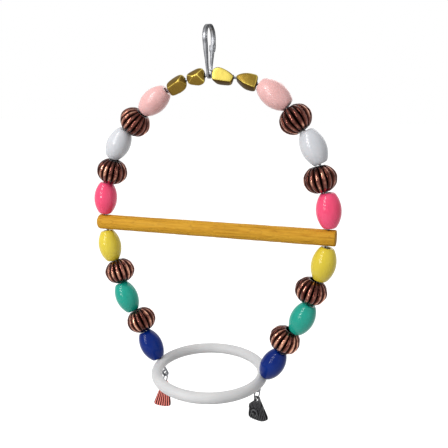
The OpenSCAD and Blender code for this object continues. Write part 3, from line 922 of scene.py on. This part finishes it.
@dataclass(frozen=True)
class SnapHook:
    """Snap hook bent from flat steel strip, with a springy gate that closes inside its nose."""

    drop: float = 26.0
    wide: float = 3.6
    thick: float = 1.0
    bend: float = 8.6
    eye: float = 2.4
    nose: float = 7.0
    gate_drop: float = 4.4
    root: float = 3.0
    head_wide: float = 4.8
    head_long: float = 5.0
    wire: float = 0.9
    gap: float = 0.3
    rounding: float = 0.28
    narrowing: float = 0.42
    narrow_from: float = 4.0
    narrow_run: float = 18.0
    hinge_taper: float = 0.5
    head_swell: float = 0.5

    @property
    def eye_line(self) -> float:
        """The eye's radius to the middle of the strip."""
        return self.eye + self.thick / 2

    def layout(self) -> tuple[Array, float, float, Array, float]:
        """Places the straight parts on the tangents between the hook's circles.

        Returns:
            Eye centre, front lean, the gate's side of the eye, gate foot and gate length.
        """
        centre = np.array([0.0, -self.drop + self.eye - self.wire - self.gap])
        lean = math.degrees(math.asin((self.bend - self.eye_line) / float(np.linalg.norm(centre))))
        tip = np.array([self.bend - self.thick - self.gap, -self.gate_drop])
        v = tip - centre
        side = math.degrees(math.atan2(v[1], v[0]) - math.acos(self.eye_line / float(np.linalg.norm(v))))
        foot = centre + self.eye_line * turn_to(side)
        return centre, lean, side, foot, float(np.linalg.norm(tip - foot))

    def strip(self, line: Array, heading: Array, left: Array) -> Skin:
        """Sweeps the strip's section along a line.

        Its width is 1 - narrowing s of the whole, where s steps from 0 at the top to 1 near the eye. The
        mark paints shade on both edges and in a band on one side, and leaves a painted highlight line clear
        beside the middle. The thickness follows a quarter ellipse along the hinge taper.

        Args:
            line: the line's points.
            heading: the heading at each point.
            left: the length from each point to the strip's end at the gate's hinge.
        Returns:
            The closed skin.
        """
        section = strip_section(self.thick, self.wide, self.rounding)
        across = section[:, 1] / (self.wide / 2)
        # A painted highlight line beside the middle, a painted dark band on one side, and painted shade on both
        # edges, over a mid-dark base.
        painted_highlight_line, band = (np.exp(-(((across - at) / 0.22) ** 2)) for at in (-0.2, 0.45))
        edge = np.maximum(0.42 - 0.42 * painted_highlight_line + 0.5 * band, smooth_step((np.abs(across) - 0.7) / 0.25))
        thin = 0.3 + 0.7 * np.sqrt(np.clip(1 - (1 - np.clip(left / self.hinge_taper, 0, 1)) ** 2, 0, 1))
        skin = sweep_section(line, heading, section, HOOK_PLANE, edge, thin)
        step = smooth_step((-self.narrow_from - skin.points[..., 2]) / self.narrow_run)
        skin.points[..., 0] *= 1 - self.narrowing * step
        return skin

    def body_skin(self) -> Skin:
        """Sweeps the strip from the nose over the top, down the front leg, round the eye to the root.

        Returns:
            The closed skin.
        """
        centre, lean, side, foot, _ = self.layout()
        front = 180 + lean
        start = np.array([self.bend, 0.0])
        trail = Trail().straight(np.array([self.bend, -self.nose]), start, 6)
        trail.bend(start, 90, self.bend, front, 5)
        low = centre + self.eye_line * turn_to(front)
        trail.straight(trail.end[0], low, 14).bend(low, front + 90, self.eye_line, side + 360 - front, 8)
        trail.straight(foot, foot + self.root * turn_to(side + 90), 25)
        line, heading = trail.line()
        return self.strip(line, heading, np.linalg.norm(line - line[-1], axis=1))

    def gate_skin(self) -> Skin:
        """Sweeps the gate's strip and swells it to the wider head at its free end.

        Returns:
            The closed skin.
        """
        _, _, side, foot, long = self.layout()
        start, head = self.root + self.gap, long - self.head_long
        s = np.r_[start + np.array([0, 0.06, 0.14, 0.26, 0.4, 0.55]), np.linspace(start + 1, head, 12),
                  np.linspace(head + 0.25, long - END_OUT, 10)]
        grow = 1 + (self.head_wide / self.wide - 1) * smooth_step((s - head) / self.head_swell)
        skin = self.strip(foot + s[:, None] * turn_to(side + 90), np.full(len(s), side + 90), s - start)
        skin.points[..., 0] *= np.r_[1, grow, self.head_wide / self.wide][:, None]
        # The whole gate is painted darker than the body, as painted shade.
        return replace(skin, hollow=0.3 + 0.7 * skin.hollow)


@dataclass(frozen=True)
class Perch:
    """Wooden bar: a rod with broken lengthwise grain, bevelled ends and a hole for the wire near each.

    The wire's flanks, which cross it, lie more than `flank_x` from the middle. `bevel` holds distances from
    an end and the shares of the radius there.
    """

    left: Array
    right: Array
    crossings: list[tuple[Array, Array]]
    radius: float = 6.0
    hole: float = 1.6
    cols: int = 120
    flank_x: float = 60.0
    rim: float = 1.0
    near: float = 2.6
    hole_soft: float = 0.25
    hole_deep: float = 2.6
    bevel: Profile = ((0.0, 0.9), (0.15, 0.94), (0.4, 0.98), (0.8, 1.0))

    @classmethod
    def from_frame(cls, node: Object, path: HoopPath) -> "Perch":
        """Reads the bar's end centres from the CAD mesh, and where the wire crosses it from the path.

        Args:
            node: the bar in the CAD model.
            path: the wire's line.
        Returns:
            The perch.
        """
        co = np.zeros(len(node.data.vertices) * 3)
        node.data.vertices.foreach_get("co", co)
        co = co.reshape(-1, 3) / MM
        ends = []
        for sign in (-1, 1):
            x = co[:, 0] * sign
            rim = co[x > x.max() - cls.rim]
            ends.append((rim.min(0) + rim.max(0)) / 2)
            ends[-1][0] = sign * x.max()
        line, heading = path.whole()
        way = (ends[1] - ends[0]) / np.linalg.norm(ends[1] - ends[0])
        crossings = []
        for sign in (-1, 1):
            own = np.where(line[:, 0] * sign > cls.flank_x)[0]
            k = own[off_line(upright(line[own]), ends[0], way).argmin()]
            crossings.append((upright(line[k]), upright(turn_to(heading[k]))))
        return cls(ends[0], ends[1], crossings)

    def skin(self) -> Skin:
        """Rod of radius R: r = R (0.985 + grain - cracks), never over R, bevelled at the ends and drilled.

        Grain and cracks are lattice noise drawn out along the bar.

        Returns:
            The closed skin.
        """
        span = float(np.linalg.norm(self.right - self.left))
        way = (self.right - self.left) / span
        at, share = np.array(self.bevel).T
        close = np.linspace(-self.near, self.near, 27)
        near_holes = [float((c - self.left) @ way) + close for c, _ in self.crossings]
        x = np.unique(np.round(np.r_[at, np.linspace(at[-1], span - at[-1], 200), span - at, *near_holes], 3))
        noise = partial(noise_at, x, span, 900, self.cols)
        grain = 0.016 * noise((26, 34), 5) + 0.012 * noise((60, 60), 11) + 0.014 * noise((5, 3), 21)
        crack = smooth_step((np.abs(noise((20, 28), 31)) - 0.02) / 0.12)
        to_end = np.minimum(x, span - x)[:, None]
        bevel = np.interp(to_end, at, share)
        r = np.minimum(self.radius * (0.985 + grain - 0.012 * (1 - crack)) * bevel, self.radius)
        ring = circle(self.cols)
        normal = ring[None, :, :1] * np.cross(way, REAR) + ring[None, :, 1:] * REAR
        points = self.left + x[:, None, None] * way + r[..., None] * normal
        skin = Skin(points, 0.28 * (1 - crack), False)
        for line in self.crossings:
            skin = skin.drilled(normal, line, self.hole, self.hole_soft, self.hole_deep)
        return replace(skin, hollow=np.clip(np.maximum(skin.hollow, np.exp(-to_end / 0.5) * 0.5), 0, 1))


@dataclass(frozen=True)
class LevelRing:
    """Round plastic ring with a slanted hole on each side, and faint waves along it."""

    height: float
    radius: float = 42.5
    section: float = 8.5
    hole: float = 1.4
    slant: float = 122.0
    near_angle: float = 4.0
    hole_soft: float = 0.2
    hole_deep: float = 2.0
    cols: int = 88

    def skin(self) -> Skin:
        """Torus of section radius s (0.992 + wave), with a well at each hole and closer stations beside it.

        Returns:
            The closed skin.
        """
        close = np.linspace(-self.near_angle, self.near_angle, 29)
        a = np.unique(np.round(np.r_[np.arange(0, 360, 2.0), close % 360, 180 + close], 4))
        around, turn = turn_to(a), circle(self.cols)
        wave = 0.006 * noise_at(a, 360, 721, self.cols, (14, 3), 41)
        wave = wave * smooth_step(np.minimum(a, 360 - a) / 10)[:, None]
        r = self.section / 2 * (0.992 + wave)
        rise = np.broadcast_to(turn[None, :, 1:], (len(a), self.cols, 1))
        normal = np.concatenate([around[:, None] * turn[None, :, :1], rise], 2)
        centre = np.concatenate([around * self.radius, np.full((len(a), 1), self.height)], 1)[:, None]
        skin = Skin(centre + r[..., None] * normal, np.zeros((len(a), self.cols)))
        for side in Side:
            at = np.array([side.value * self.radius, self.height])
            way = turn_to(-self.slant) * [side.value, 1]
            line = (upright(at), upright(way))
            skin = skin.drilled(normal, line, self.hole, self.hole_soft, self.hole_deep)
        return skin


@dataclass(frozen=True)
class JumpRing:
    """Small round wire ring, cut once, its ends nearly shut."""

    radius: float = 4.2
    wire: float = 1.0
    cut: float = 3.0
    cut_at: float = 60.0

    def skin(self, low: Array, turn: float) -> Skin:
        """Carries a circle round the ring from one side of the cut to the other.

        Args:
            low: the lowest point of its middle line.
            turn: how far it is turned about Z.
        Returns:
            The closed skin.
        """
        start = self.cut_at + self.cut / 2
        trail = Trail().bend(self.radius * turn_to(start), start + 90, self.radius, 360 - self.cut, 6)
        c, s = turn_to(turn)
        plane = np.array([[-s, c, 0], [0, 0, 1], [c, s, 0]])
        skin = sweep_section(*trail.line(), circle(14, self.wire / 2), plane)
        return replace(skin, points=skin.points + (low + [0, 0, self.radius]))


@dataclass(frozen=True)
class ShellCharm:
    """Small cast shell: a ribbed plate round its hanging hole, thinner at the rim, hollow behind.

    The plate is a grid from the hole's edge out to the outline. Front and back meet on both edges.
    `left` and `right` are the outline's two sides: half widths at shares of the way down.
    """

    name: str
    slot: str
    turn: float
    length: float
    left: Profile
    right: Profile
    ribs: int
    wide: float
    lean: float
    top: float = 2.6
    boss: float = 0.0
    hole: float = 1.3
    plate: float = 1.8
    rib: float = 0.8
    cols: int = 240
    steps: int = 40

    def outline(self) -> Array:
        """The outline: down the right side, round the foot and up the left, smoothed and evenly spaced.

        Returns:
            Its points, cols by 2.
        """
        side = np.linspace(0, 1, 60)
        fall = self.top - side * (self.length + self.top)
        right, left = (np.stack([sign * np.interp(side, *np.array(table).T) + self.lean * side, fall], -1)
                       for table, sign in ((self.right, 1), (self.left, -1)))
        ring = np.vstack([right, left[::-1]])
        for _ in range(3):
            ring = 0.25 * np.roll(ring, 1, 0) + 0.5 * ring + 0.25 * np.roll(ring, -1, 0)
        closed = np.vstack([ring, ring[:1]])
        run = np.r_[0, np.cumsum(np.linalg.norm(np.diff(closed, axis=0), axis=1))]
        at = np.linspace(0, run[-1], self.cols, endpoint=False)
        return np.stack([np.interp(at, run, closed[:, k]) for k in (0, 1)], -1)

    def skin(self, hang: Array) -> Skin:
        """Front: plate/2 + rib |cos| across the fan + boss dome with a spiral line. Back: a shallow hollow.

        Args:
            hang: the middle of the hanging hole.
        Returns:
            The closed skin.
        """
        rim = self.outline()
        edge = self.hole * rim / np.linalg.norm(rim, axis=1, keepdims=True)
        t = np.linspace(0, 1, self.steps)[:, None, None]
        v = smooth_step(t) * 0.35 + t * 0.65
        flat = edge + (rim - edge) * v
        x, z, v = flat[..., 0], flat[..., 1], v[..., 0]
        apex = self.top + 12.0
        down = np.clip((self.top - z) / (self.length + self.top), 0, 1)
        fan = np.arctan2(x - self.lean * down, apex - z) / math.atan2(self.wide / 2, apex + self.length)
        rib = np.abs(np.cos(np.pi / 2 * fan * self.ribs)) ** 0.8
        growth = 0.06 * np.cos(down * 46 - 2.5 * fan**2)
        close = np.sqrt(np.clip(1 - (np.clip(v - 0.9, 0, 1) / 0.1) ** 2, 0, 1))
        close = close * np.sqrt(np.clip(1 - (np.clip(0.08 - v, 0, 1) / 0.08) ** 2, 0, 1))
        high = self.plate / 2 + self.rib * rib * smooth_step(1.6 * down) + growth
        # Painted shade in the grooves between the ribs, fading out near the hole.
        hollow = np.clip(3.0 * (1 - rib) - 0.1, 0, 1) * smooth_step(3 * down)
        if self.boss:
            bx, bz = x + self.wide * 0.09, z + self.length * 0.58
            d = np.sqrt(bx**2 + bz**2) / (self.wide * 0.27)
            coil = np.cos(np.arctan2(bz, bx) + d * 9.5)
            on_boss = smooth_step((1 - d) * 3)
            high = high * (1 - 0.35 * on_boss) + self.boss * np.clip(1 - d**2, 0, 1) + 0.22 * coil * on_boss
            # On the boss, painted shade along the coil's groove.
            hollow = hollow * (1 - on_boss) + on_boss * np.clip(0.5 - 0.45 * coil, 0, 1)
        low = self.plate / 2 - 0.35 * smooth_step(3 * (1 - v)) * smooth_step(4 * v)
        front = np.stack([x, -high * close, z], -1)
        back = np.stack([x, low * close + 0 * x, z], -1)[1:-1][::-1]
        marks = np.clip(np.vstack([hollow, np.full((self.steps - 2, self.cols), 0.2)]), 0, 1)
        c, s = turn_to(self.turn)
        turned = np.concatenate([front, back]) @ np.array([[c, s, 0], [-s, c, 0], [0, 0, 1]])
        return Skin(turned + hang, marks)


# ---- sub-assemblies


# Each nugget: its length, `front` (the painted shade of its front faces, 0 for a painted reflection) and its
# corners.
NUGGETS: dict[str, NuggetBead] = {
    "right_inner_nugget": NuggetBead(17.0, 0.0, (
        (0, 62, -92), (26, 100, -74), (62, 66, -58), (100, -12, -43), (92, -58, -52), (2, -48, -98),
        (22, -100, 5), (88, -92, 25), (8, 55, 85), (80, 10, 100))),
    "right_outer_nugget": NuggetBead(16.5, 0.3, (
        (0, 12, -40), (0, -28, 35), (38, 85, -30), (95, 90, -20), (100, -45, -78), (50, -32, -98),
        (55, -100, -15), (100, -85, 10), (78, 55, 80), (40, 10, 85))),
    "left_inner_nugget": NuggetBead(14.25, 0.42, (
        (0, 80, -35), (0, -74, -55), (26, 100, -10), (30, 30, -98), (66, 12, -94), (38, -100, -20),
        (100, 42, -50), (100, -52, -40), (10, 50, 85), (70, -30, 90))),
    "left_outer_nugget": NuggetBead(16.75, 0.5, (
        (0, 70, -30), (0, -60, -40), (20, 25, -100), (22, -100, -45), (60, -100, -25), (28, 100, 10),
        (62, 90, -15), (100, 8, -48), (100, 58, -10), (100, -72, -5), (10, 30, 90), (85, 0, 80))),
}

FAN = (*((d, 2.0 + 6.2 * d**0.9) for d in np.linspace(0, 0.88, 12)), (0.94, 7.2), (0.98, 5.4), (1.0, 3.2))
CHARMS: dict[Side, ShellCharm] = {
    Side.LEFT: ShellCharm("red_charm", "copper_red", 4.0, 22.0, FAN, FAN, 7, 15.5, -3.6, top=1.9),
    Side.RIGHT: ShellCharm("black_charm", "gunmetal", -14.0, 18.5, (
        (0.0, 2.2), (0.1, 2.5), (0.2, 2.9), (0.27, 3.6), (0.32, 6.0), (0.38, 7.6), (0.5, 8.3), (0.8, 9.2),
        (0.92, 9.4), (0.97, 8.6), (1.0, 6.6)), (
        (0.0, 2.2), (0.12, 2.5), (0.7, 7.7), (0.78, 8.2), (0.84, 7.6), (0.92, 5.2), (1.0, 1.6)),
        8, 16.0, 2.6, boss=2.6),
}


@dataclass
class Hoop:
    """The hook, its gate, the hoop wire, the perch and the ring."""

    nodes: dict[str, Object]
    finishes: Finishes
    path: HoopPath = field(default_factory=HoopPath)
    hook: SnapHook = field(default_factory=SnapHook)

    def build(self) -> None:
        """Makes each piece and seats it on its body."""
        path, perch = self.path, Perch.from_frame(self.nodes["perch"], self.path)
        wire = sweep_section(*path.whole(), circle(20, path.wire / 2), HOOP_PLANE)
        ring = LevelRing(-path.hook_drop - path.foot[1])
        show_piece("snap_hook", "hook", "bright_steel", self.hook.body_skin(), self.finishes)
        show_piece("hook_gate", "gate", "bright_steel", self.hook.gate_skin(), self.finishes)
        show_piece("hoop_wire", "hoop", "wire_steel", wire, self.finishes)
        show_piece("perch", "hoop", "wood", perch.skin(), self.finishes, 55)
        show_piece("ring", "ring", "white_plastic", ring.skin(), self.finishes)


@dataclass
class BeadString:
    """All the loose beads, each on its own spin joint."""

    joints: dict[str, dict]
    finishes: Finishes
    barrels: tuple[str, ...] = ("pale_pink", "white", "hot_pink", "yellow", "teal", "blue")
    melons: tuple[str, ...] = ("top_melon", "upper_melon", "lower_melon", "bottom_melon")
    nuggets: tuple[str, ...] = ("inner_nugget", "outer_nugget")

    def build(self) -> None:
        """Makes the barrel beads, the melon beads and the nuggets on both sides, each on its joint."""
        for side in Side:
            beads = [(f"{colour}_bead", colour, BarrelBead().skin(), CREASE) for colour in self.barrels]
            for i, kind in enumerate(self.melons):
                beads.append((kind, "antique_copper", MelonBead().skin(50 + 7 * i + side.value), 60))
            for i, kind in enumerate(self.nuggets):
                nugget = NUGGETS[f"{side.word}_{kind}"]
                beads.append((kind, "gold", nugget.skin(80 + 5 * i + side.value), 60))
            for kind, slot, skin, crease in beads:
                node = f"{side.word}_{kind}"
                seated = seat_bead(skin, self.joints[f"{node}_spin"], side)
                show_piece(node, node, slot, seated, self.finishes, crease)


@dataclass
class Charms:
    """The two jump rings and the two shells that hang from them."""

    joints: dict[str, dict]
    finishes: Finishes
    jump: JumpRing = field(default_factory=JumpRing)
    gap: float = 0.3
    rise: float = 0.344

    def build(self) -> None:
        """Makes the jump rings and the charms: a shell's hole rests on its ring, `gap` and `rise` apart."""
        for side, charm in CHARMS.items():
            low = np.array(self.joints[f"{charm.name}_swing"]["pos_m"], float) / MM
            node = f"{side.word}_jump_ring"
            show_piece(node, node, "dark_steel", self.jump.skin(low, charm.turn), self.finishes)
            hang = low - [0, 0, charm.hole - self.jump.wire / 2 - self.gap - self.rise]
            show_piece(charm.name, charm.name, charm.slot, charm.skin(hang), self.finishes, 70)


# ---- stage


@dataclass(frozen=True)
class Studio:
    """White floor and surroundings, a soft key on the upper left, a weak fill, and the photograph's camera.

    Places and lamp sizes are in metres, lamp powers in watts.
    """

    floor_height: float = -0.38
    floor_half: float = 12.0
    floor_glow: float = 0.82
    camera_place: Triple = (0.1403, -0.3777, -0.0490)
    yaw: float = 18.82
    pitch: float = 12.05
    roll: float = 0.19
    lens: float = 43.55
    target: Triple = (0.0, 0.0, -0.14)
    pane_size: float = 0.105
    pane_power: float = 1.04
    key_bearing: float = -128.0
    key_height: float = 46.0
    column_step: float = 13.0
    row_step: float = 14.0
    lean: float = 2.0
    panel_size: float = 0.9
    fill_place: Triple = (0.9, -0.7, 0.1)
    fill_power: float = 0.9
    rear_place: Triple = (0.2, 0.9, 0.5)
    rear_power: float = 3.2
    low_glow: float = 0.12
    high_glow: float = 0.86

    def floor(self) -> None:
        """A wide white floor that keeps a faint shadow: for rays that see it, most of its light is a glow."""
        mesh = bpy.data.meshes.new("floor")
        s, z = self.floor_half, self.floor_height
        mesh.from_pydata([(-s, -s, z), (s, -s, z), (s, s, z), (-s, s, z)], [], [(0, 1, 2, 3)])
        board = Board("floor_white")
        board.set(Base_Color=(0.45, 0.45, 0.45, 1), Roughness=0.9, Specular_IOR_Level=0.1,
                  Emission_Color=(1, 1, 1, 1),
                  Emission_Strength=board.reckon("MULTIPLY", board.seen(), self.floor_glow))
        mesh.materials.append(board.material)
        floor = add_object("floor", mesh)

    def world(self) -> None:
        """Even pale light for the object, brighter above, and plain white where it is seen or mirrored."""
        world = bpy.data.worlds.new("studio")
        bpy.context.scene.world = world
        tree = Tree(world)
        place = tree.add("ShaderNodeTexCoord").outputs["Generated"]
        height = tree.add("ShaderNodeSeparateXYZ", {0: place}).outputs["Z"]
        glow_here = tree.span(height, self.low_glow, self.high_glow, -0.3, 1.0)
        level = tree.span(tree.seen(), glow_here, 1.0)
        glow = tree.add("ShaderNodeBackground", {"Color": (1, 1, 1, 1), "Strength": level})
        tree.add("ShaderNodeOutputWorld", {0: glow.outputs[0]})

    @staticmethod
    def aim(thing: Object, place: Triple, back: Array, roll: float = 0.0) -> None:
        """Stands a lamp or camera: its X is level and square to its back, and then both turn by the roll.

        Args:
            thing: the lamp or camera.
            place: where it stands.
            back: the unit vector from what it faces.
            roll: how far it is rolled.
        """
        right = np.cross([0.0, 0.0, 1.0], back)
        right = right / np.linalg.norm(right)
        up = np.cross(back, right)
        c, s = turn_to(roll)
        axes = np.stack([c * right + s * up, c * up - s * right, back, place], 1)
        thing.matrix_world = Matrix(np.vstack([axes, [0, 0, 0, 1]]).tolist())

    def lamp(self, name: str, place: Triple, size: float, power: float) -> None:
        """Adds a square soft lamp that faces the middle of the hoop.

        Args:
            name: its name.
            place: where it stands.
            size: its side.
            power: its power.
        """
        light = bpy.data.lights.new(name, "AREA")
        light.size, light.energy = size, power
        back = np.array(place) - self.target
        self.aim(add_object(name, light), place, back / np.linalg.norm(back))

    def camera(self) -> None:
        """The photograph's view: turned by yaw about Z, looking down by pitch, then rolled."""
        lens = bpy.data.cameras.new("photo_view")
        lens.lens, lens.sensor_width, lens.clip_start = self.lens, 36.0, 0.01
        (ahead, aside), (level, down) = turn_to(self.yaw), turn_to(self.pitch)
        camera = add_object("photo_view", lens)
        self.aim(camera, self.camera_place, np.array([aside * level, -ahead * level, down]), self.roll)
        bpy.context.scene.camera = camera

    def build(self) -> None:
        """Sets the camera, lamps, world and floor. Two leaning columns of four small panes are the key."""
        self.camera()
        for i in range(8):
            row, column = divmod(i, 2)
            out, up = turn_to(self.key_height - self.row_step * row)
            across, ahead = turn_to(self.key_bearing + self.column_step * column + self.lean * row) * out
            place = (float(across), float(ahead), float(up) + self.target[2])
            self.lamp(f"window_{i + 1}", place, self.pane_size, self.pane_power)
        self.lamp("fill", self.fill_place, self.panel_size, self.fill_power)
        self.lamp("rear", self.rear_place, self.panel_size, self.rear_power)
        self.world()
        self.floor()
        bpy.context.scene.view_settings.view_transform = "Standard"
        LOG.info("studio ready, camera at %s m", self.camera_place)


def main() -> None:
    """Loads the frame and builds the swing's pieces and the studio."""
    logging.basicConfig(level=logging.INFO, format="%(name)s: %(message)s")
    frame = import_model()
    Studio().build()
    finishes = {recipe.name: recipe.build() for recipe in RECIPES}
    joints = {joint["name"]: joint for joint in frame["joints"]}
    Hoop(frame["nodes"], finishes).build()
    BeadString(joints, finishes).build()
    Charms(joints, finishes).build()


if __name__ == "__main__":
    main()
